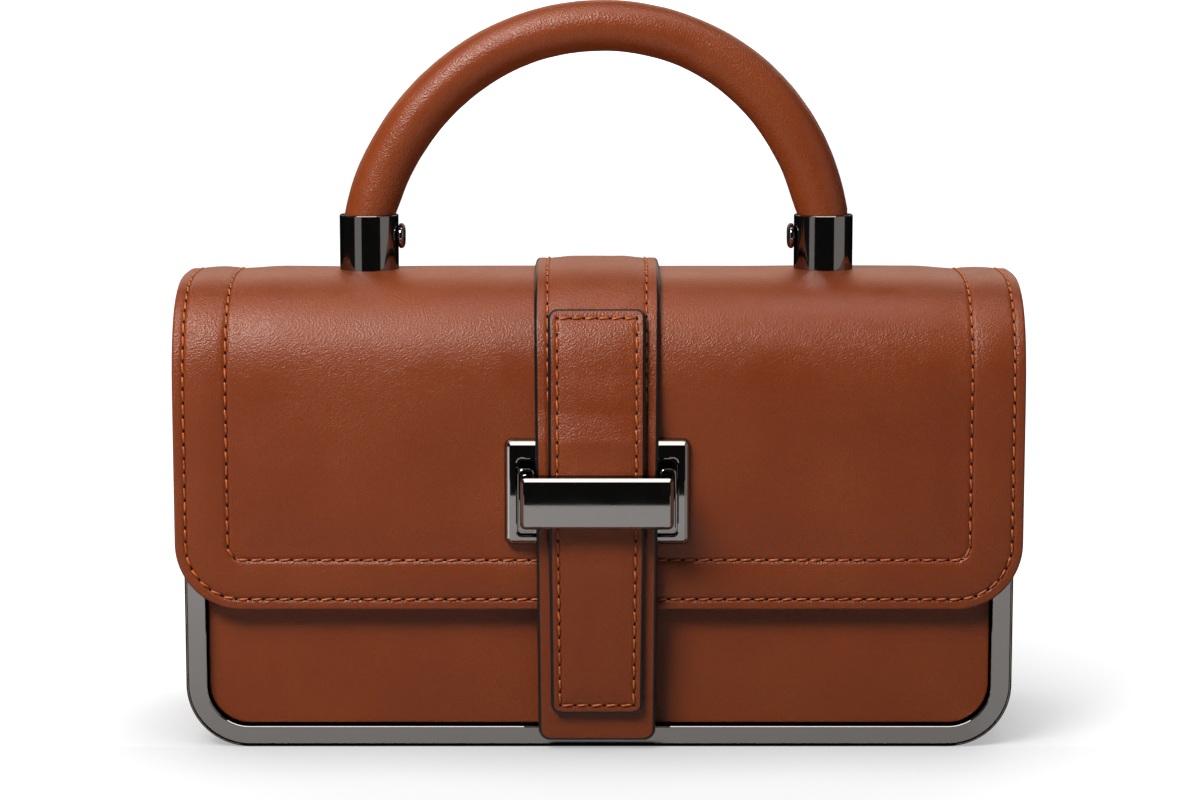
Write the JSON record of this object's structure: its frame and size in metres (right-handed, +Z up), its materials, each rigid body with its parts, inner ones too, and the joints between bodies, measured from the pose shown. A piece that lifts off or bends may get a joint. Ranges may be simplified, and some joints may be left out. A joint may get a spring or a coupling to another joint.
{
  "type": "satchel",
  "caption": "Brown leather top-handle satchel: box body in a gunmetal frame, flap over the top, strap under a metal bar clasp, round handle in metal ferrules.",
  "frame": {"origin": "on the floor under the middle of the body's base, at the middle of its width and depth", "axes": "+Z up through the handle, +X to the viewer's right along the width, -Y out of the front with the clasp"},
  "size_m": [0.24, 0.0951, 0.2116],
  "materials": {
    "leather": "smooth semi-gloss calf leather, tan brown",
    "strap_leather": "smooth semi-gloss calf leather, tan brown, with painted edges",
    "gunmetal": "polished dark gunmetal plating",
    "edge_paint": "near-black edge paint, semi-gloss",
    "thread": "orange-brown twisted polyester thread"
  },
  "bodies": {
    "root": {"metal_frame": "gunmetal", "front_panel": "leather", "back_panel": "leather", "gusset": "leather", "flap": "leather", "wide_strap": "strap_leather", "narrow_strap": "strap_leather", "clasp_plate": "gunmetal", "clasp_bar": "gunmetal", "handle": "leather", "ferrule_left": "gunmetal", "ferrule_right": "gunmetal", "screw_left": "gunmetal", "screw_right": "gunmetal"}
  },
  "joints": []
}
